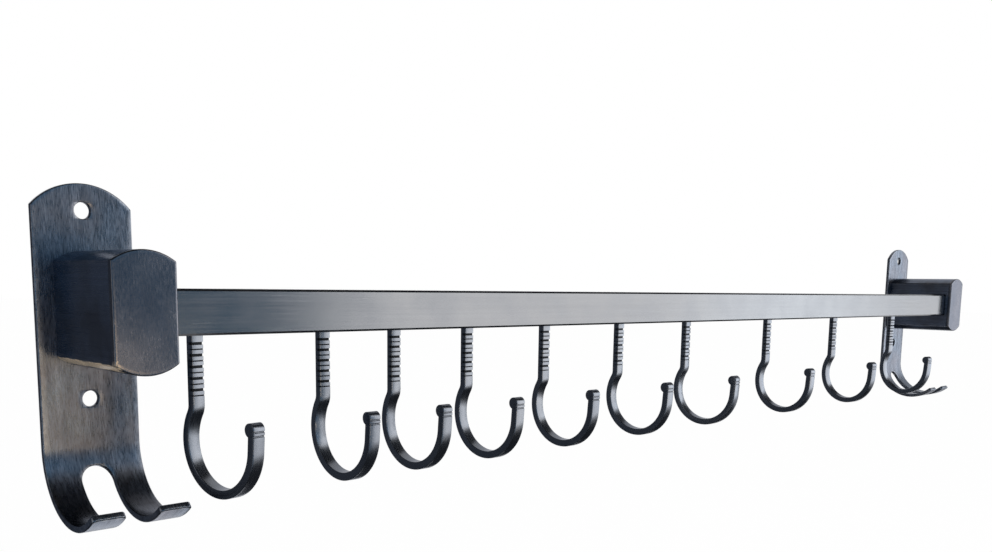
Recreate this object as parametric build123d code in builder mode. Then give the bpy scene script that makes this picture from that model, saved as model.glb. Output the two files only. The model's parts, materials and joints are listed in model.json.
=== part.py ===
from build123d import *
import os
from math import atan2, cos, degrees, radians, sin, sqrt, tan

# Kitchen wall rack: two forked wall plates, two stand-off boxes, a slotted rail and ten sliding hooks.
# X runs along the rail, the wall is the plane Y = 0 with the room on its -Y side, and Z is up.
# The origin is the middle of the four wall-screw holes, on the wall.

# Driving dimensions, in millimetres and degrees

# Whole rack
overall_length = 600.0          # outer edge of one wall plate to outer edge of the other

# Wall plate
plate_width = 30.0
plate_thickness = 2.0
wall_hole_diameter = 5.0
wall_hole_spacing = 57.0        # upper hole to lower hole
head_margin = 8.0               # upper hole to the top of the arch
head_rise = 7.0                 # height of the arched head above its corners
bend_drop = 14.0                # lower hole to the start of the forward bend
bend_radius = 22.0              # outside of the bend
tine_upturn = 43.0              # how far the tines turn up past the lowest point
fork_drop = 21.0                # lower hole to the round top of the fork slot
fork_width = 10.0
tine_rounding = 0.6             # rounded edges at the tips of the tines

# Stand-off box and its front cap
box_width = 18.8
box_side_height = 28.6          # straight part of the sides
box_arch_rise = 3.2             # arched top and bottom
box_reach = 41.0                # front of the wall plate to front of the cap
box_wall = 1.8
box_drop = 1.0                  # middle of the box below the middle of the wall holes
cap_thickness = 2.0
cap_edge_chamfer = 0.5
cap_peg_length = 6.0
peg_clearance = 0.1

# Screws that hold the box to the plate
screw_diameter = 3.0
screw_length = 18.0
screw_head_diameter = 6.0
screw_head_angle = 90.0         # full angle of the countersunk head
screw_head_sink = 0.15          # head below the back of the plate
screw_hole_clearance = 0.2
screw_point_length = 2.5
port_wall = 1.4                 # wall of the screw ports inside the box
recess_length = 3.2             # cross recess in the screw head
recess_width = 0.8
recess_depth = 0.9

# Rail
rail_height = 13.6
rail_depth = 11.0
rail_setback = 3.8              # front of the cap to front of the rail
rail_wall = 1.5
rail_lip = 1.5                  # lips beside the slot
rail_edge_bevel = 0.7
rail_fit = 0.25                 # rail to its window in the box
rail_end_gap = 0.3              # rail end to the far wall of the box

# Hooks
hook_places = (0.017, 0.099, 0.153, 0.216, 0.293, 0.380, 0.472, 0.605, 0.737, 0.875)    # along the clear rail
hook_turns = (1.0, 0.0, 0.1, 0.1, 0.0, 0.15, 0.4, -0.35, -0.9, -1.0)                    # share of the play
hook_play = 9.0                 # how far a hook can turn about its neck before it meets the slot
hook_width = 4.1
hook_thickness = 2.7
hook_drop = 47.8                # underside of the rail to the lowest point of the hook
hook_head_width = 6.4
hook_head_height = 2.6
slide_clearance = 0.2           # hook head and neck to the slot of the rail
bowl_radius = 16.3              # outside of the bowl
bowl_setback = 3.1              # back of the bowl behind the back of the neck
neck_bend_radius = 5.0          # middle line of the bend between neck and bowl
tip_height = 24.0               # lowest point of the hook to the top of its tip
tip_lean = 4.0
bead_radius = 2.1
groove_depth = 0.5              # grooves across the front of the neck
groove_width = 0.85
groove_pitch = 3.45
groove_start = 2.5              # underside of the rail to the middle of the first groove
line_radius = 0.2               # fine line across the land below each groove
neck_smooth = 2.7               # plain neck between the last line and the bend
tip_groove_count = 2            # fine grooves across the front of the tip
tip_groove_radius = 0.3
tip_groove_pitch = 1.3
tip_groove_start = 2.4          # top of the tip to the first groove

# Room that cutting shapes take beyond the faces they cut
cut_margin = 1.0

# Places worked out from the driving dimensions

bracket_x = (overall_length - plate_width) / 2
upper_hole_z = wall_hole_spacing / 2
lower_hole_z = -wall_hole_spacing / 2
head_top_z = upper_hole_z + head_margin
bend_z = lower_hole_z - bend_drop
plate_bottom_z = bend_z - bend_radius
plate_front_y = -plate_thickness

box_z = -box_drop
box_half_height = box_side_height / 2 + box_arch_rise
cap_front_y = plate_front_y - box_reach
cap_back_y = cap_front_y + cap_thickness
port_radius = screw_diameter / 2 + port_wall
port_offset = box_half_height - port_radius

rail_front_y = cap_front_y + rail_setback
rail_y = rail_front_y + rail_depth / 2
rail_top_z = box_z + rail_height / 2
rail_bottom_z = box_z - rail_height / 2
rail_length = 2 * bracket_x + box_width - 2 * (box_wall + rail_end_gap)
play_cos = cos(radians(hook_play))
play_sin = sin(radians(hook_play))
slot_width = hook_thickness * play_cos + hook_width * play_sin + 2 * slide_clearance
head_room_width = hook_head_width * play_cos + hook_width * play_sin + 2 * slide_clearance
head_room_height = hook_head_height + 2 * slide_clearance
head_room_bottom_z = rail_bottom_z + rail_lip
chamber_bottom_z = head_room_bottom_z + head_room_height + rail_wall
chamber_height = rail_top_z - rail_wall - chamber_bottom_z
clear_run = 2 * bracket_x - box_width

hook_bottom_z = rail_bottom_z - hook_drop
hook_head_z = head_room_bottom_z + slide_clearance
bowl_line = bowl_radius - hook_thickness / 2
bowl_x = hook_thickness / 2 + bowl_setback - bowl_radius
bowl_z = hook_bottom_z + bowl_radius
neck_end_z = bowl_z + sqrt((neck_bend_radius + bowl_line) ** 2 - (neck_bend_radius - bowl_x) ** 2)
neck_turn = degrees(atan2(neck_end_z - bowl_z, neck_bend_radius - bowl_x))
bead_inset = bead_radius - hook_thickness / 2
tip_end_z = hook_bottom_z + tip_height - bead_radius - bead_inset * sin(radians(tip_lean))
groove_run = rail_bottom_z - groove_start - groove_pitch / 2 - neck_smooth - neck_end_z
groove_count = int(groove_run / groove_pitch) + 1

os.makedirs("parts", exist_ok=True)


def write_piece(piece, name):
    """Label a finished piece and write it as one STEP file."""
    piece.label = name
    export_step(piece, f"parts/{name}.step")


def arched_outline(width, side_height, rise):
    """Rectangle with an arched top and bottom, centred on the origin of its own sketch."""
    half_width = width / 2
    half_side = side_height / 2
    apex = half_side + rise
    with BuildSketch() as outline:
        with BuildLine():
            Line((-half_width, half_side), (-half_width, -half_side))
            ThreePointArc((-half_width, -half_side), (0, -apex), (half_width, -half_side))
            Line((half_width, -half_side), (half_width, half_side))
            ThreePointArc((half_width, half_side), (0, apex), (-half_width, half_side))
        make_face()
    return outline.sketch


box_outline = arched_outline(box_width, box_side_height, box_arch_rise)


def make_wall_plate(center_x):
    """Strip that bends forward at its foot, with an arched head, four screw holes and a fork slot."""
    arc_size = 90 + tine_upturn
    inner_radius = bend_radius - plate_thickness
    half_width = plate_width / 2
    corner_z = head_top_z - head_rise
    through = 2 * bend_radius
    with BuildPart() as wall_plate:
        with BuildSketch(Plane.YZ.offset(center_x)):
            with BuildLine():
                outside = CenterArc((-bend_radius, bend_z), bend_radius, 0, -arc_size)
                inside = CenterArc((-bend_radius, bend_z), inner_radius, 0, -arc_size)
                Line(outside @ 1, inside @ 1)
                Polyline(inside @ 0, (plate_front_y, head_top_z), (0, head_top_z), outside @ 0)
            make_face()
        extrude(amount=half_width, both=True)
        tips = wall_plate.edges().filter_by(Axis.X).group_by(Axis.Y)
        fillet(tips[0] + tips[1], radius=tine_rounding)
        with BuildSketch(Plane.XZ):
            with BuildLine():
                head = ThreePointArc(
                    (center_x - half_width, corner_z),
                    (center_x, head_top_z),
                    (center_x + half_width, corner_z),
                )
                Polyline(
                    head @ 1,
                    (center_x + half_width, plate_bottom_z),
                    (center_x - half_width, plate_bottom_z),
                    head @ 0,
                )
            make_face()
        extrude(amount=through, mode=Mode.INTERSECT)
        with BuildSketch(Plane.XZ):
            with Locations((center_x, upper_hole_z), (center_x, lower_hole_z)):
                Circle(wall_hole_diameter / 2)
        extrude(amount=plate_thickness, mode=Mode.SUBTRACT)
        with BuildSketch(Plane.XZ.offset(-cut_margin)):
            with Locations((center_x, lower_hole_z - fork_drop - fork_width / 2)):
                Circle(fork_width / 2)
                Rectangle(fork_width, bend_radius, align=(Align.CENTER, Align.MAX))
        extrude(amount=through + cut_margin, mode=Mode.SUBTRACT)
        for side in (-1, 1):
            hole_place = Plane((center_x, 0, box_z + side * port_offset), x_dir=(1, 0, 0), z_dir=(0, 1, 0))
            with Locations(hole_place):
                CounterSinkHole(
                    screw_diameter / 2 + screw_hole_clearance,
                    screw_head_diameter / 2 + screw_hole_clearance,
                    plate_thickness,
                    counter_sink_angle=screw_head_angle,
                )
    return wall_plate.part


def make_standoff_box(center_x, inward):
    """Length of arched box section with two screw ports and a window for the rail on its inward side."""
    depth = plate_front_y - cap_back_y
    with BuildPart() as standoff_box:
        with BuildSketch(Plane((center_x, plate_front_y, box_z), x_dir=(1, 0, 0), z_dir=(0, -1, 0))):
            add(box_outline)
            offset(amount=-box_wall, mode=Mode.SUBTRACT)
            with Locations((0, port_offset), (0, -port_offset)):
                Circle(port_radius)
                Circle(screw_diameter / 2, mode=Mode.SUBTRACT)
        extrude(amount=depth)
        with Locations((center_x + inward * box_width / 2, rail_y, box_z)):
            Box(
                2 * box_wall,
                rail_depth + 2 * rail_fit,
                rail_height + 2 * rail_fit,
                mode=Mode.SUBTRACT,
            )
    return standoff_box.part


def make_front_cap(center_x):
    """Flat arched cover with a chamfered front edge and two pegs that press into the screw ports."""
    with BuildPart() as front_cap:
        with BuildSketch(Plane((center_x, cap_back_y, box_z), x_dir=(1, 0, 0), z_dir=(0, -1, 0))):
            add(box_outline)
        extrude(amount=cap_thickness)
        chamfer(front_cap.faces().sort_by(Axis.Y)[0].edges(), length=cap_edge_chamfer)
        with BuildSketch(Plane((center_x, cap_back_y, box_z), x_dir=(1, 0, 0), z_dir=(0, -1, 0))):
            with Locations((0, port_offset), (0, -port_offset)):
                Circle(screw_diameter / 2 - peg_clearance)
        extrude(amount=-cap_peg_length)
    return front_cap.part


def make_box_screws(center_x):
    """Two countersunk screws, driven from the back of the plate into the ports of the box."""
    head_radius = screw_head_diameter / 2
    shank_radius = screw_diameter / 2 - peg_clearance
    head_height = (head_radius - shank_radius) / tan(radians(screw_head_angle / 2))
    with BuildPart() as box_screws:
        for side in (-1, 1):
            axis_place = Plane(
                (center_x, -screw_head_sink, box_z + side * port_offset), x_dir=(1, 0, 0), z_dir=(0, 0, 1)
            )
            with BuildSketch(axis_place):
                with BuildLine():
                    Polyline(
                        (0, 0),
                        (head_radius, 0),
                        (shank_radius, -head_height),
                        (shank_radius, screw_point_length - screw_length),
                        (0, -screw_length),
                        close=True,
                    )
                make_face()
            revolve(axis=Axis(axis_place.origin, (0, 1, 0)))
            with Locations(axis_place.origin):
                Box(
                    recess_length,
                    2 * recess_depth,
                    recess_width,
                    mode=Mode.SUBTRACT,
                )
                Box(
                    recess_width,
                    2 * recess_depth,
                    recess_length,
                    mode=Mode.SUBTRACT,
                )
    return box_screws.part


def make_rail():
    """Extrusion with a closed chamber above and a T-slot below that holds the hook heads."""
    with BuildPart() as rail:
        with BuildSketch(Plane.YZ) as section:
            with Locations((rail_y, box_z)):
                Rectangle(rail_depth, rail_height)
            chamfer(section.vertices().group_by(Axis.X)[0], length=rail_edge_bevel)
            with Locations((rail_y, chamber_bottom_z)):
                Rectangle(
                    rail_depth - 2 * rail_wall,
                    chamber_height,
                    align=(Align.CENTER, Align.MIN),
                    mode=Mode.SUBTRACT,
                )
            with Locations((rail_y, head_room_bottom_z)):
                Rectangle(
                    head_room_width,
                    head_room_height,
                    align=(Align.CENTER, Align.MIN),
                    mode=Mode.SUBTRACT,
                )
            with Locations((rail_y, rail_bottom_z)):
                Rectangle(
                    slot_width,
                    2 * rail_lip,
                    mode=Mode.SUBTRACT,
                )
        extrude(amount=rail_length / 2, both=True)
    return rail.part


def make_hook(center_x, turn):
    """Slice of a hook profile: T-head, grooved neck, round bowl and a tip with a bead on its inner side.

    The profile is drawn with the middle of the neck at x = 0 and the room at -x.
    Its plane is turned about the middle of the neck.
    """
    turn_cos = cos(radians(turn))
    turn_sin = sin(radians(turn))
    lean_tan = tan(radians(tip_lean))
    lean_cos = cos(radians(tip_lean))
    lean_sin = sin(radians(tip_lean))
    slice_place = Plane((center_x, rail_y, 0), x_dir=(-turn_sin, turn_cos, 0), z_dir=(turn_cos, turn_sin, 0))
    with BuildPart() as hook:
        with BuildSketch(slice_place):
            with BuildLine():
                Line((0, hook_head_z), (0, neck_end_z))
                CenterArc((neck_bend_radius, neck_end_z), neck_bend_radius, 180, neck_turn)
                bowl = CenterArc((bowl_x, bowl_z), bowl_line, neck_turn, tip_lean - neck_turn - 180)
                tip_start = bowl @ 1
                tip_end = Vector(tip_start.X - (tip_end_z - tip_start.Y) * lean_tan, tip_end_z)
                Line(tip_start, tip_end)
            trace(line_width=hook_thickness)
            with Locations((0, hook_head_z)):
                Rectangle(hook_head_width, hook_head_height, align=(Align.CENTER, Align.MIN))
            with Locations(tip_end + Vector(lean_cos, lean_sin) * bead_inset):
                Circle(bead_radius)
            grooves_z = [rail_bottom_z - groove_start - step * groove_pitch for step in range(groove_count)]
            with Locations(*[(-hook_thickness / 2, groove_z) for groove_z in grooves_z]):
                Rectangle(2 * groove_depth, groove_width, mode=Mode.SUBTRACT)
            with Locations(*[(-hook_thickness / 2, groove_z - groove_pitch / 2) for groove_z in grooves_z]):
                Circle(line_radius, mode=Mode.SUBTRACT)
            tip_front = tip_end - Vector(lean_cos, lean_sin) * (hook_thickness / 2)
            tip_down = Vector(lean_sin, -lean_cos)
            first_groove = tip_groove_start - bead_radius
            groove_drops = [first_groove + step * tip_groove_pitch for step in range(tip_groove_count)]
            with Locations(*[tip_front + tip_down * drop for drop in groove_drops]):
                Circle(tip_groove_radius, mode=Mode.SUBTRACT)
        extrude(amount=hook_width / 2, both=True)
    return hook.part


for side_name, side in (("left", -1), ("right", 1)):
    write_piece(make_wall_plate(side * bracket_x), f"wall_plate_{side_name}")
    write_piece(make_standoff_box(side * bracket_x, -side), f"standoff_box_{side_name}")
    write_piece(make_front_cap(side * bracket_x), f"front_cap_{side_name}")
    write_piece(make_box_screws(side * bracket_x), f"box_screws_{side_name}")

write_piece(make_rail(), "rail")

for number, (place, turn) in enumerate(zip(hook_places, hook_turns), start=1):
    write_piece(make_hook((place - 0.5) * clear_run, turn * hook_play), f"hook_{number:02d}")
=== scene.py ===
"""Looks of a kitchen wall rack, laid out as an add-on and built around the fixed frame of its solids."""

import json
import math

import bmesh
import bpy
import numpy as np
from mathutils import Matrix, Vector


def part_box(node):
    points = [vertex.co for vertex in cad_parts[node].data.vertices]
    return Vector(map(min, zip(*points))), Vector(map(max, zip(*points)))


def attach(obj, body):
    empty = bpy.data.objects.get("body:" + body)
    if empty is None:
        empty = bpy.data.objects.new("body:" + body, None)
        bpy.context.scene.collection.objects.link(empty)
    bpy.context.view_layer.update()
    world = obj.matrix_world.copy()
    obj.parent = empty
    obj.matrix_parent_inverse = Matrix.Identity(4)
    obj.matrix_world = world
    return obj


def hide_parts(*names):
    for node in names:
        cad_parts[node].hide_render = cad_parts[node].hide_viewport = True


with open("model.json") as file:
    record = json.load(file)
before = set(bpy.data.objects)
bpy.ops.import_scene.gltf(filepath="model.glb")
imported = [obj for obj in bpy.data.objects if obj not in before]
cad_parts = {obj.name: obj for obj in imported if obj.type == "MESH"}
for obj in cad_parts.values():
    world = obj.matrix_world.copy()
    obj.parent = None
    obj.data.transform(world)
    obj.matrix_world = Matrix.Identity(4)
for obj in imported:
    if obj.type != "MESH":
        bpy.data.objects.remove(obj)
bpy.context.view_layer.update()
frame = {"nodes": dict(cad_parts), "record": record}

bl_info = {
    "name": "Kitchen wall rack",
    "version": (1, 0, 0),
    "blender": (4, 5, 0),
    "location": "3D View > Sidebar > Rack",
    "description": "Builds the pieces of a wall rack with sliding hooks, their metals and a plain studio",
    "category": "Add Mesh",
}

SIDES = ("left", "right")
HOOKS = tuple(f"hook_{number:02d}" for number in range(1, 11))

# Gaps in metres at which the points of a mesh are joined and its rows dropped, and how rows are rounded
WELD_GAP = 2e-6
PLATE_ROW_GAP = 8e-6
HOOK_ROW_GAP = 4e-6
ROW_DIGITS = 7

# Faces shade smooth up to this angle
SMOOTH_ANGLE = math.radians(40)

# Wear of the corners of boxes and caps, against that of the sheet edges
CORNER_WEAR = 0.15

# Grain of the metals, in features per metre
BLOTCHES = (55.0, 55.0, 55.0)
PATCHES = (420.0, 420.0, 420.0)

# Stretches of a noise's range over which the metals change
MIDDLE = (0.3, 0.7)
WIDE = (0.25, 0.75)
BLOTCH_RANGE = (0.38, 0.66)
PATCH_RANGE = (0.46, 0.68)

WHITE = (1.0, 1.0, 1.0)
BLACK = (0.0, 0.0, 0.0)


def length(name, default, text):
    """Size in metres."""
    return bpy.props.FloatProperty(name=name, description=text, default=default, unit="LENGTH", precision=5)


def angle(name, default, text):
    """Angle, given in degrees."""
    turn = math.radians(default)
    return bpy.props.FloatProperty(name=name, description=text, default=turn, subtype="ANGLE")


def share(name, default, text):
    """Plain number, never below zero."""
    return bpy.props.FloatProperty(name=name, description=text, default=default, min=0.0, precision=3)


def count(name, default, text):
    """Whole number, at least one."""
    return bpy.props.IntProperty(name=name, description=text, default=default, min=1)


def colour(name, default, text):
    """Linear colour."""
    return bpy.props.FloatVectorProperty(
        name=name, description=text, default=default, size=3, min=0.0, max=1.0, subtype="COLOR"
    )


def place(name, default, text):
    """Point in the frame, in metres."""
    return bpy.props.FloatVectorProperty(name=name, description=text, default=default, size=3, unit="LENGTH")


class RackSizes(bpy.types.PropertyGroup):
    """Sizes of the pieces that the boxes of the solids do not tell."""

    edge: length("Edge", 0.0004, "Rounding of the sheet edges")
    hook_edge: length("Hook edge", 0.00025, "Rounding of the hook edges")
    sheet: length("Sheet", 0.002, "Thickness of the wall plates")
    head_rise: length("Head rise", 0.007, "Height of the arched head above its corners")
    bend_radius: length("Bend radius", 0.022, "Outside radius of the bend at the foot of a plate")
    tine_upturn: angle("Tine upturn", 43.0, "How far the tines turn up past the lowest point")
    tine_corner: length("Tine corner", 0.0015, "Rounding of the corners at the ends of the tines")
    # Tine ends: edge wear made stronger to paint a highlight at their corners
    tip_wear_and_highlight: share("Tip wear", 1.8, "Wear of the tine ends, against that of other edges")
    fork_drop: length("Fork drop", 0.021, "Lower wall hole to the round top of the fork slot")
    fork_width: length("Fork width", 0.010, "Width of the slot between the tines")
    screw_hole: length("Screw hole", 0.0034, "Diameter of the clearance hole of a box screw")
    screw_sink: length("Screw sink", 0.0064, "Diameter of the wide end of a box screw's countersink")
    screw_head: length("Screw head", 0.006, "Diameter of the head of a box screw")
    arch_rise: length("Arch rise", 0.0032, "Rise of the arched top and bottom of a stand-off box")
    box_wall: length("Box wall", 0.0018, "Wall thickness of a stand-off box")
    box_corner: length("Box corner", 0.0006, "Rounding along the corners of a box and its cap")
    port: length("Port", 0.0056, "Outside diameter of a screw port inside a box")
    port_hole: length("Port hole", 0.003, "Bore of a screw port")
    peg: length("Peg", 0.0028, "Diameter of the pegs on the back of a cap")
    cap_sheet: length("Cap sheet", 0.002, "Thickness of a front cap")
    cap_edge: length("Cap edge", 0.00055, "Rounding of the front edge of a cap")
    # Strength of the painted warm glint on the left box's lower outer corner and the left cap's corner,
    # against the wear of sheet edges
    painted_glint: share("Rubbed", 12.0, "Wear of the left box's lower outer corner, against that of sheet edges")
    rail_fit: length("Rail fit", 0.00025, "Gap between the rail and its window in a box")
    hook_width: length("Hook width", 0.0041, "Width of a hook along the rail")
    hook_thickness: length("Hook thickness", 0.0027, "Thickness of the hook strip")
    hook_head: length("Hook head", 0.0064, "Size of the head of a hook across the slot")
    hook_head_height: length("Hook head height", 0.0026, "Height of the head of a hook")
    bowl_radius: length("Bowl radius", 0.0163, "Outside radius of the bowl of a hook")
    bowl_setback: length("Bowl setback", 0.0031, "Back of the bowl behind the back of the neck")
    neck_bend: length("Neck bend", 0.005, "Radius of the middle line in the bend between neck and bowl")
    tip_height: length("Tip height", 0.024, "Lowest point of a hook to the top of its tip")
    tip_lean: angle("Tip lean", 4.0, "Lean of the tip towards the room")
    bead: length("Bead", 0.0021, "Radius of the bead on the inner side of the tip")
    groove_depth: length("Groove depth", 0.0005, "Depth of the grooves across the neck")
    groove_width: length("Groove width", 0.00085, "Width of the grooves across the neck")
    groove_pitch: length("Groove pitch", 0.00345, "Distance from one groove to the next")
    groove_start: length("Groove start", 0.0025, "Underside of the rail to the first groove")
    groove_count: count("Grooves", 5, "Grooves across the neck")
    line_radius: length("Line", 0.0002, "Radius of the fine line across the land below each groove")
    tip_line: length("Tip line", 0.0003, "Radius of the fine grooves across the tip")
    tip_line_start: length("Tip line start", 0.0003, "Middle of the bead to the first fine groove of the tip")
    tip_line_pitch: length("Tip line pitch", 0.0013, "Distance between the fine grooves of the tip")
    tip_line_count: count("Tip lines", 2, "Fine grooves across the tip")


class RackColours(bpy.types.PropertyGroup):
    """Colours and finish of the metals."""

    plate: colour("Plate", (0.104, 0.119, 0.143), "Wall plates")
    box: colour("Box", (0.140, 0.163, 0.212), "Stand-off boxes")
    cap: colour("Cap", (0.088, 0.093, 0.110), "Front caps")
    rail: colour("Rail", (0.142, 0.143, 0.148), "Rail")
    rail_drift: colour("Rail drift", (0.134, 0.136, 0.143), "Slow change of the rail's colour")
    hook: colour("Hook", (0.155, 0.162, 0.176), "Hooks")
    hook_drift: colour("Hook drift", (0.136, 0.145, 0.163), "Slow change of the hooks' colour")
    tint: colour("Tint", (0.118, 0.118, 0.132), "Violet cast of the oxide layer")
    grazing: colour("Grazing", (0.70, 0.72, 0.77), "Tint of the dark metals seen at a low angle")
    rail_grazing: colour("Rail grazing", (0.85, 0.86, 0.88), "Tint of the rail seen at a low angle")
    # Tan of the worn corners of the boxes and caps, also the colour of the painted warm glint on the left box
    # and cap
    tan: colour("Tan", (0.56, 0.44, 0.30), "Worn corners of the boxes and caps")
    bare: colour("Bare", (0.42, 0.43, 0.45), "Metal laid bare at the worn edges of the plates and hooks")
    zinc: colour("Zinc", (0.62, 0.63, 0.64), "Plating of the screws")
    wear: share("Wear", 0.35, "How far the edges are worn bare")


class RackStage(bpy.types.PropertyGroup):
    """Camera, lamps, cards and floor of the plain studio."""

    camera_place: place("Camera", (-0.4049, -0.3043, 0.0083), "Place of the camera")
    camera_yaw: angle("Yaw", 44.32, "Camera turned to the right of the wall's normal")
    camera_pitch: angle("Pitch", -8.303, "Camera tilted up, or down where it is below zero")
    camera_roll: angle("Roll", 0.848, "Camera rolled anticlockwise, seen from behind it")
    lens: bpy.props.FloatProperty(
        name="Lens", description="Focal length in millimetres", default=35.44, unit="CAMERA"
    )
    rise: share("Rise", 0.1522, "Upward shift of the picture")
    floor_drop: length("Floor", 0.8, "Floor below the middle of the rack")
    floor_white: share("Floor white", 0.975, "Part of the floor's look that is plain white")
    floor_dull: colour("Floor dull", (0.85, 0.85, 0.85), "The rest of the floor's look")
    fill: share("Fill", 0.8, "Brightness of the surroundings on dull surfaces")
    lamp_front: length("Lamps in front", 1.0, "Distance of the lamps from the wall")
    lamp_middle: length("Lamp middle", 0.225, "Middle of the lamps above the middle of the rack")
    lamp_height: length("Lamp height", 1.55, "Height of the lamps")
    lamp_edges: bpy.props.FloatVectorProperty(
        name="Lamp edges", description="Ends of the four lamps along the wall, from left to right",
        default=(0.43, 1.45, 2.25, 2.75, 3.3), size=5, unit="LENGTH",
    )
    lamp_levels: bpy.props.FloatVectorProperty(
        name="Lamp levels", description="Brightness of the four lamps",
        default=(1.78, 2.75, 0.8, 1.8), size=4,
    )
    lamp_cool: colour("Lamp cool", (0.90, 0.955, 1.0), "Cast of the second lamp")
    card_dark: colour("Card dark", (0.050, 0.055, 0.065), "Cards above and below that the metal reflects")
    card_dim: colour("Card dim", (0.115, 0.132, 0.165), "Card behind on the left that the metal reflects")
    card_cool: colour("Card cool", (0.21, 0.38, 0.56), "Cards in front on the left that the metal reflects")
    card_sky_level: share("Sky level", 1.45, "Brightness of the upper cool card against the lower one")
    card_warm: colour("Card warm", (1.0, 0.77, 0.52), "Small card that the lower left plate reflects")
    card_warm_level: share("Warm level", 4.5, "Brightness of the warm card")
    card_floor_level: share("Floor card level", 2.1, "Brightness of the floor that the left tines reflect")


def grid_faces(rows, columns, wrap=False):
    """Four-cornered faces between neighbouring points of a grid that is numbered row by row."""
    row = np.arange(rows - 1)[:, None]
    column = np.arange(columns if wrap else columns - 1)[None, :]
    following = (column + 1) % columns
    start = row * columns
    after = start + columns
    corners = np.broadcast_arrays(start + column, start + following, after + following, after + column)
    return np.stack(corners, axis=-1)


def strip_faces(first, second):
    """Four-cornered faces between two lines of point numbers."""
    return np.stack([first[:-1], first[1:], second[1:], second[:-1]], axis=-1)


def weld(name, points, faces, flow, wear_and_painted_light):
    """Mesh object from surface points: equal points joined, faces turned outwards, smooth up to an angle.

    Each point keeps its place along and across the piece, and its wear together with any painted glint and
    painted shade. An open edge stops the script.
    """
    quads = np.concatenate([part.reshape(-1, 4) for part in faces])
    mesh = bpy.data.meshes.new(name)
    mesh.from_pydata(points.tolist(), [], quads.tolist())
    mesh.attributes.new("flow", "FLOAT_VECTOR", "POINT").data.foreach_set("vector", flow.ravel())
    mesh.attributes.new("wear_and_painted_light", "FLOAT", "POINT").data.foreach_set("value", wear_and_painted_light.ravel())
    welded = bmesh.new()
    welded.from_mesh(mesh)
    bmesh.ops.remove_doubles(welded, verts=welded.verts, dist=WELD_GAP)
    bmesh.ops.recalc_face_normals(welded, faces=welded.faces)
    open_edges = sum(not edge.is_manifold for edge in welded.edges)
    welded.to_mesh(mesh)
    welded.free()
    if open_edges:
        raise RuntimeError(f"{name} has {open_edges} open edges")
    mesh.shade_smooth()
    mesh.set_sharp_from_angle(angle=SMOOTH_ANGLE)
    piece = bpy.data.objects.new(name, mesh)
    bpy.context.scene.collection.objects.link(piece)
    return piece


def dress(piece, body, node, material):
    """Give a piece its metal, its body and the solid that it stands for."""
    piece.data.materials.append(material)
    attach(piece, body)
    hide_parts(node)


def paint_solid(node, material):
    """Put a metal on a solid that is shown as it is."""
    mesh = frame["nodes"][node].data
    mesh.materials.clear()
    mesh.materials.append(material)


# Surfaces: the numbers of points are set by how much each stretch curves


def crowded(points=5):
    """Fractions from 0 to 1 that crowd towards 0 as 1 - cos does over a quarter turn."""
    return 1 - np.cos(np.linspace(0, np.pi / 2, points))


def sorted_rows(rows, gap):
    """Rows in rising order, without any that lies within a gap of the one before it."""
    rows = np.unique(np.round(rows, ROW_DIGITS))
    return rows[np.concatenate([[True], np.diff(rows) > gap])]


def across_strip(inner, outer, edge, points=9):
    """Positions across each row of a strip, from inner to outer, crowded within one edge of both sides."""
    inner = inner[:, None]
    outer = outer[:, None]
    span = outer - inner
    edge = np.minimum(edge, span / 3)
    middle = inner + edge + (span - 2 * edge) * np.linspace(0, 1, points)[1:-1]
    return np.hstack([inner + edge * crowded(), middle, outer - edge * crowded()[::-1]])


def chord(along, centre, radius):
    """Half width at each row of a round hole."""
    return np.sqrt(np.clip(radius**2 - (along - centre) ** 2, 0, None))


def hole_rows(centre, radius, edge):
    """Rows that follow a round hole and the rounding of its rim."""
    reach = radius + edge * crowded()
    round_part = radius * np.cos(np.linspace(0, np.pi, 17))
    return centre + np.concatenate([round_part, reach, -reach])


def screw_heights(node, sizes):
    """Heights of the lower and the upper box screw."""
    low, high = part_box(node)
    return low.z + sizes.screw_head / 2, high.z - sizes.screw_head / 2


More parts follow.
